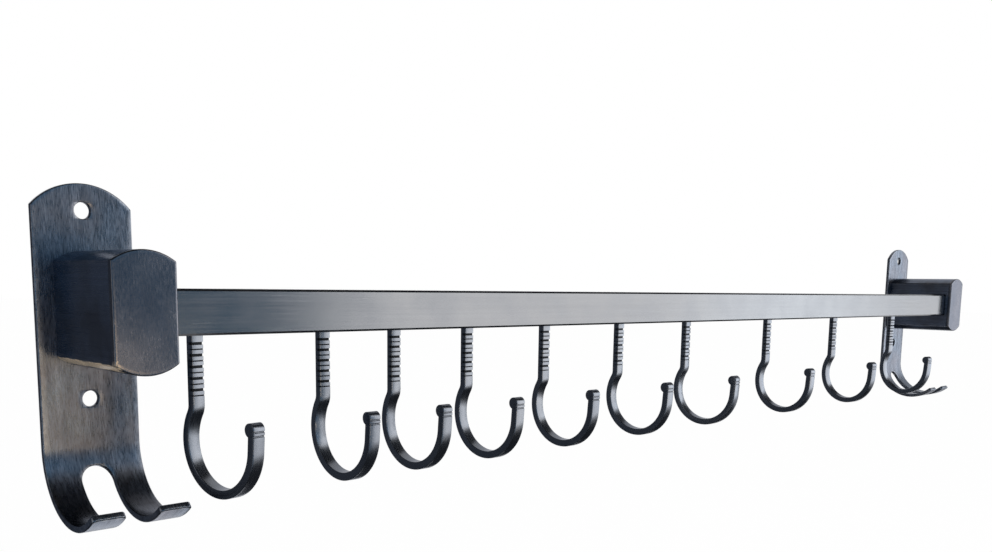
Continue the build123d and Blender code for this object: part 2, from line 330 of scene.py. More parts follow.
def plate_surface(node, sizes):
    """Wall plate as two half sheets either side of its middle line.

    Along the strip runs l, from the top of the arched head. At each l the half sheet reaches from
    the edge of the holes, countersinks and fork slot to the arch or the straight side, and near the
    end of a tine it is narrower on both sides by its round corners. Both faces lie half a sheet from
    the middle, less a quarter round near each edge. The sheet is flat down to the bend, and from
    there l / radius is the angle round the bend.
    """
    low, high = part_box(node)
    mount = next(item for item in frame["record"]["mounts"] if item["kind"] == "bolt_pattern")
    half = (high.x - low.x) / 2
    top = high.z
    bend_z = low.z + sizes.bend_radius
    bend_l = top - bend_z
    mid_radius = sizes.bend_radius - sizes.sheet / 2
    bend_turn = math.pi / 2 + sizes.tine_upturn
    end_l = bend_l + mid_radius * bend_turn
    end_stretch = 1.5  # the rounding at the end of a tine, against that of other edges
    edge = sizes.edge
    corner = sizes.tine_corner
    arch = (half**2 + sizes.head_rise**2) / (2 * sizes.head_rise)
    wall_radius = mount["dims"]["hole_r_mm"] / 1000
    wall_z = mount["dims"]["spacing_y_mm"] / 2000
    wall_l = (top - wall_z, top + wall_z)
    lower_screw, upper_screw = screw_heights(node.replace("wall_plate", "box_screws"), sizes)
    screw_l = (top - upper_screw, top - lower_screw)
    bore = sizes.screw_hole / 2
    sink = sizes.screw_sink / 2
    slot = sizes.fork_width / 2
    slot_z = -wall_z - sizes.fork_drop - slot

    def bend_row(height):
        """Row of the middle of the sheet that lies at a height in the bend."""
        return bend_l + mid_radius * np.arcsin((bend_z - height) / mid_radius)

    rows = np.concatenate([
        edge * crowded(),
        sizes.head_rise * np.linspace(0, 1, 19) ** 2,
        np.linspace(sizes.head_rise, bend_l, 24),
        bend_l + mid_radius * np.linspace(0, bend_turn, 48),
        bend_row(slot_z + slot * np.cos(np.linspace(0, np.pi / 2, 11))),
        bend_row(slot_z + slot + edge * crowded()),
        end_l - end_stretch * edge * crowded(),
        end_l - corner * crowded(9),
        *(hole_rows(centre, wall_radius, edge) for centre in wall_l),
        *(hole_rows(centre, bore, edge) for centre in screw_l),
        *(hole_rows(centre, sink, 0.0) for centre in screw_l),
    ])
    rows = sorted_rows(rows, PLATE_ROW_GAP)
    turned = np.clip((rows - bend_l) / mid_radius, 0, None)
    height = np.where(rows < bend_l, top - rows, bend_z - mid_radius * np.sin(turned))
    beyond = turned > np.pi / 2

    fork = np.where((height < slot_z) | beyond, slot, chord(height, slot_z, slot))
    fork = np.where(rows < bend_l, 0, fork)
    into_corner = np.clip(corner - (end_l - rows), 0, corner)
    trim = corner - np.sqrt(corner**2 - into_corner**2)
    cut = fork + trim + sum(chord(rows, centre, wall_radius) for centre in wall_l)
    bored = cut + sum(chord(rows, centre, bore) for centre in screw_l)
    sunk = cut + sum(chord(rows, centre, sink) for centre in screw_l)
    outer = np.where(rows < sizes.head_rise, chord(rows, arch, arch), half) - trim

    front = across_strip(bored, outer, edge)
    cone = bored[:, None] + (sunk - bored)[:, None] * np.linspace(0, 1, 5)[:-1]
    back = np.hstack([cone, across_strip(sunk, outer, edge)])
    extra = cone.shape[1]

    def from_edge(across, screws):
        """Distance from the nearest edge of the sheet."""
        along = rows[:, None]
        level = height[:, None]
        inside_arch = np.where(along < arch, arch - np.hypot(across, arch - along), half)
        at_round_top = (level > slot_z) & ~beyond[:, None]
        from_slot = np.where(at_round_top, np.hypot(across, level - slot_z), across) - slot
        from_slot = np.where(along < bend_l, half, from_slot)
        from_end = np.broadcast_to((end_l - along) / end_stretch, across.shape)
        into_side = np.abs(across - (half + slot) / 2) - (half - slot) / 2 + corner
        into_end = along - end_l + corner
        in_corner = (into_side > 0) & (into_end > 0)
        round_corner = np.where(in_corner, corner - np.hypot(into_side, into_end), half)
        near = [half - across, inside_arch, from_slot, from_end, round_corner]
        near += [np.hypot(across, along - centre) - wall_radius for centre in wall_l]
        if screws:
            near += [np.hypot(across, along - centre) - bore for centre in screw_l]
        return np.clip(np.minimum.reduce(near), 0, None)

    def rounded_half(distance):
        """Half the sheet, less a quarter round within one edge of the outline."""
        short = edge - np.minimum(distance, edge)
        return sizes.sheet / 2 - edge + np.sqrt(np.clip(edge**2 - short**2, 0, None))

    front_gap = from_edge(front, True)
    back_gap = from_edge(back, False)
    front_depth = -rounded_half(front_gap)
    back_depth = rounded_half(back_gap)
    for centre in screw_l:
        back_depth = back_depth - np.clip(sink - np.hypot(back, rows[:, None] - centre), 0, sink - bore)

    def bent(across, depth):
        """Points of the bent sheet from their places across, along and through."""
        reach = mid_radius + depth
        turn = np.broadcast_to(turned[:, None], across.shape)
        y = high.y - sizes.bend_radius + reach * np.cos(turn)
        z = top - np.minimum(rows, bend_l)[:, None] - reach * np.sin(turn)
        return np.stack([across, y, z], axis=-1).reshape(-1, 3)

    def joined(front_values, back_values):
        """Values of the front and then of the back, in one line."""
        return np.concatenate([front_values.ravel(), back_values.ravel()])

    front_numbers = np.arange(front.size).reshape(front.shape)
    back_numbers = front.size + np.arange(back.size).reshape(back.shape)
    open_rows = (bored[:-1] > 0) | (bored[1:] > 0)
    half_faces = [
        grid_faces(*front.shape),
        front.size + grid_faces(*back.shape),
        strip_faces(front_numbers[:, -1], back_numbers[:, -1]),
        strip_faces(front_numbers[:, 0], back_numbers[:, 0])[open_rows],
        strip_faces(front_numbers[-1], back_numbers[-1, extra:]),
    ]
    half_points = np.concatenate([bent(front, front_depth), bent(back, back_depth)])
    points = np.concatenate([half_points, half_points * (-1, 1, 1)])
    points[:, 0] += (low.x + high.x) / 2
    faces = half_faces + [part + len(half_points) for part in half_faces]

    along = joined(*(np.broadcast_to(rows[:, None], side.shape) for side in (front, back)))
    half_flow = np.stack([joined(front, back), along, joined(front_depth, back_depth)], axis=-1)
    flow = np.concatenate([half_flow, half_flow * (-1, 1, 1)])
    wear_and_painted_light = np.clip(1 - joined(front_gap, back_gap) / (2 * edge), 0, 1)
    # The tine ends get more of the bare tone, partly wear and partly a painted highlight
    wear_and_painted_light = wear_and_painted_light * np.where(along > end_l - corner, sizes.tip_wear_and_highlight, 1.0)
    return points, faces, flow, np.concatenate([wear_and_painted_light, wear_and_painted_light])


def arched_loop(half, side, rise, corner, inset, breaks):
    """Closed outline with straight sides and arched top and bottom, moved inwards by inset.

    A core line lies one corner radius inside the outline, and its normal fans round at the corners.
    The loop is the core plus the normal times the corner radius less the inset.
    """
    arch = (half**2 + rise**2) / (2 * rise)
    centre = side + rise - arch
    core_half = half - corner
    core_arch = arch - corner
    core_side = centre + math.sqrt(core_arch**2 - core_half**2)
    lean = math.acos(core_half / core_arch)
    fan = np.linspace(0, lean, 5)
    theta = np.concatenate([fan[:-1], np.linspace(lean, math.pi - lean, 25), math.pi - fan[-2::-1]])
    top_x = np.clip(core_arch * np.cos(theta), -core_half, core_half)
    top_z = centre + core_arch * np.sin(np.clip(theta, lean, math.pi - lean))
    stops = np.concatenate([[-core_side], breaks, [core_side]])
    side_z = np.concatenate([np.linspace(a, b, 7)[1:] for a, b in zip(stops[:-1], stops[1:])])[:-1]
    up = np.full(len(side_z), core_half)
    x = np.concatenate([up, top_x, -up, -top_x])
    z = np.concatenate([side_z, top_z, side_z[::-1], -top_z])
    turn = np.concatenate([0 * side_z, theta, 0 * side_z + math.pi, theta + math.pi])
    out = corner - inset
    return np.stack([x + out * np.cos(turn), z + out * np.sin(turn)], axis=-1)


def carried(loop, stations, centre_x, centre_z):
    """Outline in X and Z carried along Y: one row of points at each station."""
    x = np.broadcast_to(loop[:, 0] + centre_x, (len(stations), len(loop)))
    y = np.broadcast_to(stations[:, None], x.shape)
    z = np.broadcast_to(loop[:, 1] + centre_z, x.shape)
    return np.stack([x, y, z], axis=-1)


def add_turned(points, faces, radii, stations, centre_x, heights, corners=20):
    """Add a turned piece at each height to lists of points and faces: circles of given radii along Y."""
    theta = np.arange(corners) * 2 * math.pi / corners
    for height in heights:
        x = centre_x + np.outer(radii, np.cos(theta))
        y = np.broadcast_to(np.array(stations)[:, None], x.shape)
        z = height + np.outer(radii, np.sin(theta))
        start = sum(len(part) for part in points)
        points.append(np.stack([x, y, z], axis=-1).reshape(-1, 3))
        faces.append(start + grid_faces(*x.shape, wrap=True))


def arched_sizes(node, sizes):
    """Middle of an arched piece in X and Z, half its width and half the height of its straight sides."""
    low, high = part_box(node)
    side = (high.z - low.z) / 2 - sizes.arch_rise
    return (low.x + high.x) / 2, (low.z + high.z) / 2, (high.x - low.x) / 2, side


def box_surface(node, sizes):
    """Stand-off box as an outer and an inner skin, with the cells of the rail's window left out.

    Both skins are arched outlines carried along Y, and short strips close the ends and the window.
    Two tubes inside are the screw ports.
    """
    low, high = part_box(node)
    rail_low, rail_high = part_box("rail")
    centre_x, centre_z, half, side = arched_sizes(node, sizes)
    arch = (half**2 + sizes.arch_rise**2) / (2 * sizes.arch_rise)
    arch_z = side + sizes.arch_rise - arch
    inner_half = half - sizes.box_wall
    inner_arch = arch - sizes.box_wall
    inner_side = arch_z + math.sqrt(inner_arch**2 - inner_half**2)
    inner_rise = arch_z + inner_arch - inner_side
    inner_corner = sizes.box_corner / 3
    fit = sizes.rail_fit
    window_z = np.array([rail_low.z - fit, rail_high.z + fit]) - centre_z
    window_y = (rail_low.y - fit, rail_high.y + fit)
    stations = np.concatenate([
        np.linspace(low.y, window_y[0], 4),
        np.linspace(window_y[0], window_y[1], 8)[1:],
        np.linspace(window_y[1], high.y, 14)[1:],
    ])
    outline = arched_loop(half, side, sizes.arch_rise, sizes.box_corner, 0.0, window_z)
    inline = arched_loop(inner_half, inner_side, inner_rise, inner_corner, 0.0, window_z)
    outer = carried(outline, stations, centre_x, centre_z)
    inner = carried(inline, stations, centre_x, centre_z)
    rows, columns = outer.shape[:2]

    # Cells of the skins are kept unless their middle lies in the window, on the straight inward side
    middle_y = (stations[:-1] + stations[1:]) / 2
    middle_x, middle_z = ((outline + np.roll(outline, -1, axis=0)) / 2).T
    inward = -1 if centre_x > 0 else 1
    straight = 0.999  # share of the half width beyond which the outline is its straight side
    on_side = middle_x * inward > straight * half
    in_window = on_side & (middle_z > window_z[0]) & (middle_z < window_z[1])
    at_window = (middle_y > window_y[0]) & (middle_y < window_y[1])
    keep = ~(at_window[:, None] & in_window[None, :])

    numbers = np.arange(rows * columns).reshape(rows, columns)
    skins = rows * columns
    cells = grid_faces(rows, columns, wrap=True)
    following = np.roll(numbers, -1, axis=1)
    above = np.pad(keep, ((1, 0), (0, 0)))
    below = np.pad(keep, ((0, 1), (0, 0)))
    cross = np.stack([numbers, following, following + skins, numbers + skins], axis=-1)[above != below]
    upright = np.stack([numbers[:-1], numbers[1:], numbers[1:] + skins, numbers[:-1] + skins], axis=-1)
    upright = upright[keep != np.roll(keep, 1, axis=1)]
    points = [outer.reshape(-1, 3), inner.reshape(-1, 3)]
    faces = [cells[keep], cells[keep] + skins, cross, upright]

    # The tubes stay a little inside the wall, so that no face lies on its outside
    wide = sizes.port / 2
    bore = sizes.port_hole / 2
    ends = (low.y, high.y, high.y, low.y, low.y)
    heights = screw_heights(node.replace("standoff_box", "box_screws"), sizes)
    add_turned(points, faces, (wide, wide, bore, bore, wide), ends, centre_x, heights)
    points = np.concatenate(points)
    flow = np.stack([points[:, 0] - centre_x, points[:, 2] - centre_z, points[:, 1]], axis=-1)

    # Worn along the corners, and on the left box a painted warm glint along the outer part of its underside
    from_corner = np.hypot(np.abs(flow[:, 0]) - half, np.abs(flow[:, 1]) - side)
    wear_and_painted_light = CORNER_WEAR * np.clip(1 - from_corner / (2 * sizes.box_corner), 0, 1)
    if centre_x < 0:
        glint_reach = (0.6, 0.8)  # shares of the half width between which the painted glint sets in
        outward = np.interp(-flow[:, 0] / half, glint_reach, (0, 1))
        under = np.clip(0.5 - (flow[:, 1] + side) / sizes.box_corner, 0, 1)
        wear_and_painted_light = np.maximum(wear_and_painted_light, sizes.painted_glint * outward * under)
    return points, faces, flow, wear_and_painted_light


def cap_surface(node, sizes):
    """Front cap as rings of the arched outline, from the middle of the front round the edge to the back.

    Round the front edge the ring moves inwards by 1 - sin and back by 1 - cos of the turn.
    The two pegs are turned, with a bevelled end.
    """
    low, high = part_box(node)
    centre_x, centre_z, half, side = arched_sizes(node, sizes)
    sheet = sizes.cap_sheet
    edge = sizes.cap_edge

    # Each ring: its share of the outline, how far it is moved inwards, and its depth behind the front
    turn = np.linspace(0, math.pi / 2, 6)
    front = [(0.0, edge, 0.0), (0.35, edge, 0.0), (0.7, edge, 0.0), (0.95, edge, 0.0)]
    rounding = np.stack([np.ones(len(turn)), edge * (1 - np.sin(turn)), edge * (1 - np.cos(turn))], axis=-1)
    back = [(1.0, 0.0, 0.7 * sheet), (1.0, 0.0, sheet), (0.98, edge, sheet), (0.0, edge, sheet)]
    scales, insets, depths = np.concatenate([front, rounding, back]).T

    # The points of the straight sides are spaced anew at each break
    breaks = np.array([-0.9, -0.2, 0.2, 0.9]) * side
    base = arched_loop(half, side, sizes.arch_rise, sizes.box_corner, 0.0, breaks)
    shrunk = arched_loop(half, side, sizes.arch_rise, sizes.box_corner, edge, breaks)
    loops = base + (shrunk - base) * (insets / edge)[:, None, None]
    loops = loops * scales[:, None, None]
    rows, columns = loops.shape[:2]
    y = np.broadcast_to((low.y + depths)[:, None], (rows, columns))
    points = [np.stack([loops[:, :, 0] + centre_x, y, loops[:, :, 1] + centre_z], axis=-1).reshape(-1, 3)]
    faces = [grid_faces(rows, columns, wrap=True)]

    bevel = 0.2  # share of a peg that its bevelled end takes
    peg_front = low.y + sheet
    radii = np.array([0.0, 1.0, 1.0, 1 - bevel, 0.0]) * sizes.peg / 2
    stations = (peg_front, peg_front, high.y - bevel * sizes.peg, high.y, high.y)
    heights = screw_heights(node.replace("front_cap", "box_screws"), sizes)
    add_turned(points, faces, radii, stations, centre_x, heights)
    points = np.concatenate(points)
    flow = np.stack([points[:, 0] - centre_x, points[:, 2] - centre_z, points[:, 1] - low.y], axis=-1)

    # Worn round the front edge, and on the left cap a painted warm glint at its lower outer corner, less than
    # on the box
    most_worn = 0.4  # share of the rounding's inset at which it is worn most
    ring_wear = np.where(scales < 1, 0.0, 1 - np.abs(insets / edge - most_worn))
    wear_and_painted_light = np.zeros(len(points))
    wear_and_painted_light[:rows * columns] = CORNER_WEAR * np.repeat(ring_wear, columns)
    if centre_x < 0:
        glint_share = 0.5
        glint_reach = 1.7  # in doubled corner radii
        from_corner = np.hypot(flow[:, 0] + half, flow[:, 1] + side + sizes.box_corner)
        close = np.clip(glint_reach - from_corner / (2 * sizes.box_corner), 0, 1)
        wear_and_painted_light = np.where(wear_and_painted_light > 0, np.maximum(wear_and_painted_light, glint_share * sizes.painted_glint * close), wear_and_painted_light)
    return points, faces, flow, wear_and_painted_light


def hook_place(node):
    """Top and bottom of a hook's solid, the middle of its head, and its directions to the wall and sideways.

    From above the head is a rectangle, so the direction in which its corners vary most is its longer side.
    """
    mesh = frame["nodes"][node].data
    corners = np.zeros(3 * len(mesh.vertices))
    mesh.vertices.foreach_get("co", corners)
    corners = corners.reshape(-1, 3)
    head_top = corners[:, 2].max()
    bottom = corners[:, 2].min()
    top_gap = 1e-5
    corners = np.unique(np.round(corners[corners[:, 2] > head_top - top_gap, :2], 6), axis=0)
    middle = corners.mean(axis=0)
    backward = np.linalg.eigh(np.cov((corners - middle).T))[1][:, -1]
    backward = backward * np.sign(backward[1])
    sideways = np.array([backward[1], -backward[0]])
    return head_top, bottom, middle, backward, sideways


def hook_surface(node, sizes):
    """Hook as a rounded rectangle carried along the middle line of its strip.

    The line runs down the neck, round a short bend, round the bowl and up the leaning tip. At each
    point the strip reaches from its middle line to a front and a back distance: half the thickness,
    wider in the head and the bead, and less in the grooves and fine lines.
    """
    head_top, bottom, middle, backward, sideways = hook_place(node)
    half = sizes.hook_thickness / 2
    rail_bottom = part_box("rail")[0].z
    line = sizes.bowl_radius - half
    bowl_x = half + sizes.bowl_setback - sizes.bowl_radius
    bowl_z = bottom + sizes.bowl_radius
    bend = sizes.neck_bend
    neck_end = bowl_z + math.sqrt((bend + line) ** 2 - (bend - bowl_x) ** 2)
    neck_turn = math.atan2(neck_end - bowl_z, bend - bowl_x)
    lean = sizes.tip_lean
    inset = sizes.bead - half
    tip_x = bowl_x - line * math.cos(lean)
    tip_z = bowl_z - line * math.sin(lean)
    tip_run = (bottom + sizes.tip_height - sizes.bead - inset * math.sin(lean) - tip_z) / math.cos(lean)

    # Distances along the line at which one part gives way to the next
    head_s = sizes.hook_head_height
    bend_s = head_top - neck_end
    bowl_s = bend_s + bend * neck_turn
    tip_s = bowl_s + line * (math.pi + neck_turn - lean)
    bead_s = tip_s + tip_run
    steps = np.arange(sizes.groove_count)
    groove_s = head_top - rail_bottom + sizes.groove_start + steps * sizes.groove_pitch
    line_s = groove_s + sizes.groove_pitch / 2
    tip_line_s = bead_s - sizes.tip_line_start - np.arange(sizes.tip_line_count) * sizes.tip_line_pitch

    wave = np.sin(np.linspace(-math.pi / 2, math.pi / 2, 9))
    sliver = 1.5e-5  # half the run over which the strip steps in or out
    wall = np.array([-sliver, sliver])
    groove_half = sizes.groove_width / 2
    last_turn = 0.9 * math.pi / 2  # the rows of the bead stop short of its top
    along = np.concatenate([
        [0.0],
        head_s + wall,
        np.linspace(head_s, bend_s, 24)[1:],
        (groove_s[:, None] - groove_half + wall).ravel(),
        (groove_s[:, None] + groove_half + wall).ravel(),
        (line_s[:, None] + sizes.line_radius * wave).ravel(),
        np.linspace(bend_s, bowl_s, 12),
        np.linspace(bowl_s, tip_s, 72),
        np.linspace(tip_s, bead_s - sizes.bead, 5),
        (tip_line_s[:, None] + sizes.tip_line * wave).ravel(),
        bead_s + sizes.bead * np.sin(np.linspace(-math.pi / 2, last_turn, 24)),
    ])
    along = sorted_rows(along, HOOK_ROW_GAP)

    bend_turn = np.clip((along - bend_s) / bend, 0, neck_turn)
    bowl_turn = np.clip((along - bowl_s) / line, 0, math.pi + neck_turn - lean)
    normal = math.pi + bend_turn - bowl_turn
    upward = np.clip(along - tip_s, 0, None)
    parts = [along < bend_s, along < bowl_s, along < tip_s]
    x = np.select(
        parts,
        [0 * along, bend + bend * np.cos(normal), bowl_x - line * np.cos(normal)],
        tip_x - upward * math.sin(lean),
    )
    z = np.select(
        parts,
        [head_top - along, neck_end + bend * np.sin(normal), bowl_z - line * np.sin(normal)],
        tip_z + upward * math.cos(lean),
    )

    in_groove = (np.abs(along[:, None] - groove_s) < groove_half).any(axis=1)
    fine = chord(along[:, None], line_s, sizes.line_radius).sum(axis=1)
    fine_tip = chord(along[:, None], tip_line_s, sizes.tip_line).sum(axis=1)
    past_bead = along - bead_s
    ball = np.sqrt(np.clip(sizes.bead**2 - past_bead**2, 0, None))
    front = np.where(along < head_s, sizes.hook_head / 2, half - sizes.groove_depth * in_groove - fine)
    front = np.where(np.abs(past_bead) < sizes.bead, np.maximum(front, inset + ball), front)
    front = np.where(past_bead > 0, inset + ball, front)
    rear = np.where(along < head_s, sizes.hook_head / 2, half - fine_tip)
    rear = np.where(past_bead > 0, ball - inset, rear)

    # Corner centres and quarter turns of the rounded rectangle at each row
    edge = np.minimum(sizes.hook_edge, (front + rear) / 2)[:, None]
    quarter = np.linspace(0, math.pi / 2, 5)
    theta = np.concatenate([quarter + turn * math.pi / 2 for turn in range(4)])
    side = np.repeat([1.0, -1.0, -1.0, 1.0], len(quarter))
    is_front = np.repeat([True, True, False, False], len(quarter))
    wide = side * (sizes.hook_width / 2 - edge) + edge * np.cos(theta)
    reach = np.where(is_front, front[:, None] - edge, edge - rear[:, None]) + edge * np.sin(theta)

    # A row drawn together in one point closes the head, and another the top of the bead
    wide = np.concatenate([0 * wide[:1], wide, 0 * wide[:1]])
    reach = np.concatenate([0 * reach[:1], reach, 0 * reach[:1] + inset])
    take = np.concatenate([[0], np.arange(len(along)), [len(along) - 1]])
    local_x = x[take][:, None] + reach * np.cos(normal[take])[:, None]
    local_z = z[take][:, None] + reach * np.sin(normal[take])[:, None]
    world = middle + local_x[..., None] * backward + wide[..., None] * sideways
    points = np.concatenate([world, local_z[..., None]], axis=-1).reshape(-1, 3)
    faces = [grid_faces(len(take), len(theta), wrap=True)]
    run = np.broadcast_to(along[take][:, None], wide.shape)
    flow = np.stack([wide, run, reach], axis=-1).reshape(-1, 3)

    # Below zero in the grooves and lines, where shade is painted in, and up to one for edge wear in the
    # middle of each rounding
    tip_shade = 0.3
    painted_shade = np.maximum(in_groove, np.sqrt(fine / sizes.line_radius))[:, None] * is_front
    painted_shade = np.maximum(painted_shade, tip_shade * (fine_tip / sizes.tip_line)[:, None] * ~is_front)
    wear_and_painted_light = np.where(painted_shade > 0, -painted_shade, np.sqrt(np.abs(np.sin(2 * theta))))
    return points, faces, flow, wear_and_painted_light[take]


# Metals


def add_node(tree, kind, inputs=None, **settings):
    """Shader node with its settings, and its inputs set or joined to other sockets."""
    node = tree.nodes.new(kind)
    for key, value in settings.items():
        setattr(node, key, value)
    for key, value in (inputs or {}).items():
        socket = node.inputs[key]
        if isinstance(value, bpy.types.NodeSocket):
            tree.links.new(value, socket)
        else:
            socket.default_value = value
    return node


def opaque(value):
    """Colour with full alpha."""
    return (value[0], value[1], value[2], 1.0)


def remap(tree, value, before, after):
    """Socket that carries a value from one range to another, held at both ends."""
    ends = dict(zip(("From Min", "From Max", "To Min", "To Max"), before + after))
    return add_node(tree, "ShaderNodeMapRange", {"Value": value, **ends}, clamp=True).outputs["Result"]


def reckon(tree, operation, first, second, clamp=False):
    """Socket with two values added or multiplied."""
    inputs = {0: first, 1: second}
    return add_node(tree, "ShaderNodeMath", inputs, operation=operation, use_clamp=clamp).outputs[0]


def blended(tree, factor, first, second, blend="MIX"):
    """Socket with two colours mixed."""
    inputs = {0: factor, 6: first, 7: second}
    node = add_node(tree, "ShaderNodeMix", inputs, data_type="RGBA", blend_type=blend)
    return node.outputs[2]


def noise(tree, vector, stretch, detail, rough):
    """Noise over coordinates stretched per axis, in features per metre."""
    mapped = add_node(tree, "ShaderNodeMapping", {"Vector": vector, "Scale": stretch})
    inputs = {"Vector": mapped.outputs[0], "Scale": 1.0, "Detail": detail, "Roughness": rough}
    return add_node(tree, "ShaderNodeTexNoise", inputs, noise_dimensions="3D").outputs["Fac"]


def metal(name, tones, brushing, contrast, rough, bump, wear=0.0, own_flow=True, dull=1.0):
    """Dark anodised metal.

    A base tone drifts towards a second tone in slow blotches, fine brushing lines vary colour,
    roughness and height, worn edges show a bare tone in patches, the same bare tone paints a warm glint
    on the left box and cap and a highlight at the tine ends, and sunken places get painted shade.
    Where the bare tone is dull, the worn and glinting patches shine less. The fourth tone tints low angles.
    """
    material = bpy.data.materials.new(name)
    material.use_nodes = True
    tree = material.node_tree
    shader = tree.nodes["Principled BSDF"]
    spot = add_node(tree, "ShaderNodeTexCoord").outputs["Object"]
    flow = spot
    if own_flow:
        flow = add_node(tree, "ShaderNodeAttribute", attribute_name="flow").outputs["Vector"]
    base, second, bare, grazing = (opaque(tone) for tone in tones)

    # Brushing lines, streaks seven times as broad, and slow blotches
    lines = noise(tree, flow, brushing, detail=5.0, rough=0.62)
    broad = noise(tree, flow, tuple(value / 7 for value in brushing), detail=2.0, rough=0.5)
    slow = noise(tree, spot, BLOTCHES, detail=3.0, rough=0.55)
    tone = blended(tree, remap(tree, slow, BLOTCH_RANGE, (0.0, 1.0)), base, second)
    light = remap(tree, lines, MIDDLE, (1 - contrast, 1 + contrast))
    wide = remap(tree, broad, MIDDLE, (1 - contrast / 2, 1 + contrast / 2))
    tone = blended(tree, 1.0, tone, reckon(tree, "MULTIPLY", light, wide), "MULTIPLY")

    if wear > 0:
        least_wear = 0.1
        deepest_shade = 0.95
        wear_and_painted_light = add_node(tree, "ShaderNodeAttribute", attribute_name="wear_and_painted_light").outputs["Fac"]
        patches = noise(tree, spot, PATCHES, detail=4.0, rough=0.7)
        patchy = remap(tree, patches, PATCH_RANGE, (least_wear * wear, wear))
        amount = reckon(tree, "MULTIPLY", wear_and_painted_light, patchy, clamp=True)
        tone = blended(tree, amount, tone, bare)
        if dull < 1:
            tree.links.new(remap(tree, amount, (0.0, 1.0), (1.0, dull)), shader.inputs["Metallic"])
        # Painted shade: where the attribute is below zero, in the hooks' grooves and fine lines, the tone is
        # darkened towards black
        painted_sunken_shade = remap(tree, wear_and_painted_light, (0.0, -1.0), (0.0, deepest_shade))
        tone = blended(tree, painted_sunken_shade, tone, opaque(BLACK))

    # Roughness follows the lines and the blotches, and height follows the lines
    finish = remap(tree, lines, WIDE, (rough - 0.06, rough + 0.08))
    finish = reckon(tree, "ADD", finish, remap(tree, slow, MIDDLE, (-0.03, 0.03)))
    line_depth = 4e-5
    height = add_node(tree, "ShaderNodeBump", {"Strength": bump, "Distance": line_depth, "Height": lines})
    tree.links.new(tone, shader.inputs["Base Color"])
    tree.links.new(finish, shader.inputs["Roughness"])
    tree.links.new(height.outputs[0], shader.inputs["Normal"])
    shader.inputs["Metallic"].default_value = 1.0
    shader.inputs["Specular Tint"].default_value = grazing
    return material


# Operators


def check_present(*nodes):
    """Stop if the frame lacks a solid that an operator needs."""
    missing = [node for node in nodes if node not in frame["nodes"]]
    if missing:
        raise RuntimeError(f"the frame has no {missing}")


def build_pair(solid, stem, surface, sizes, material):
    """Left and right piece of one kind, on the fixed body."""
    for side in SIDES:
        node = f"{solid}_{side}"
        check_present(node)
        piece = weld(f"{stem}_{side}", *surface(node, sizes))
        dress(piece, "rack", node, material)


class RACK_OT_plates(bpy.types.Operator):
    """Both wall plates: arched head, screw holes, forked foot bent forwards"""

    bl_idname = "rack.plates"
    bl_label = "Wall plates"

    def execute(self, context):
        colours = context.scene.rack_colours
        tones = (colours.plate, colours.tint, colours.bare, colours.grazing)
        material = metal(
            "plate_metal", tones, brushing=(3000.0, 400.0, 300.0), contrast=0.46, rough=0.28, bump=0.12,
            wear=colours.wear,
        )
        build_pair("wall_plate", "plate", plate_surface, context.scene.rack_sizes, material)
        return {"FINISHED"}


class RACK_OT_boxes(bpy.types.Operator):
    """Both stand-off boxes: arched section with a window for the rail"""

    bl_idname = "rack.boxes"
    bl_label = "Stand-off boxes"

    def execute(self, context):
        colours = context.scene.rack_colours
        tones = (colours.box, colours.cap, colours.tan, colours.grazing)
        material = metal(
            "box_metal", tones, brushing=(4200.0, 4200.0, 60.0), contrast=0.15, rough=0.28, bump=0.1,
            wear=2.0 * colours.wear, dull=0.2,
        )
        build_pair("standoff_box", "box", box_surface, context.scene.rack_sizes, material)
        return {"FINISHED"}


class RACK_OT_caps(bpy.types.Operator):
    """Both front caps: arched cover with a rounded edge and two pegs"""

    bl_idname = "rack.caps"
    bl_label = "Front caps"

    def execute(self, context):
        colours = context.scene.rack_colours
        tones = (colours.cap, colours.tint, colours.tan, colours.grazing)
        material = metal(
            "cap_metal", tones, brushing=(2600.0, 520.0, 900.0), contrast=0.10, rough=0.22, bump=0.01,
            wear=2.0 * colours.wear, dull=0.2,
        )
        build_pair("front_cap", "cap", cap_surface, context.scene.rack_sizes, material)
        return {"FINISHED"}


class RACK_OT_rail(bpy.types.Operator):
    """Metal of the rail, brushed along its length"""

    bl_idname = "rack.rail"
    bl_label = "Rail"

    def execute(self, context):
        colours = context.scene.rack_colours
        check_present("rail")
        tones = (colours.rail, colours.rail_drift, colours.bare, colours.rail_grazing)
        material = metal(
            "rail_metal", tones, brushing=(40.0, 5200.0, 5200.0), contrast=0.05, rough=0.20, bump=0.03,
            own_flow=False,
        )
        paint_solid("rail", material)
        return {"FINISHED"}


class RACK_OT_hooks(bpy.types.Operator):
    """The ten hooks: head, grooved neck, bowl and beaded tip"""

    bl_idname = "rack.hooks"
    bl_label = "Hooks"

    def execute(self, context):
        sizes = context.scene.rack_sizes
        colours = context.scene.rack_colours
        check_present(*HOOKS)
        tones = (colours.hook, colours.hook_drift, colours.bare, colours.grazing)
        material = metal(
            "hook_metal", tones, brushing=(4200.0, 130.0, 2000.0), contrast=0.10, rough=0.25, bump=0.03,
            wear=0.25 * colours.wear,
        )
        for node in HOOKS:
            piece = weld(f"{node}_strip", *hook_surface(node, sizes))
            dress(piece, node, node, material)
        return {"FINISHED"}


class RACK_OT_screws(bpy.types.Operator):
    """Plated metal of the box screws"""

    bl_idname = "rack.screws"
    bl_label = "Box screws"

    def execute(self, context):
        colours = context.scene.rack_colours
        tones = (colours.zinc, colours.bare, colours.bare, colours.zinc)
        material = metal(
            "screw_steel", tones, brushing=(900.0, 900.0, 900.0), contrast=0.15, rough=0.32, bump=0.1,
            own_flow=False,
        )
        for side in SIDES:
            node = f"box_screws_{side}"
            check_present(node)
            paint_solid(node, material)
        return {"FINISHED"}


# Studio


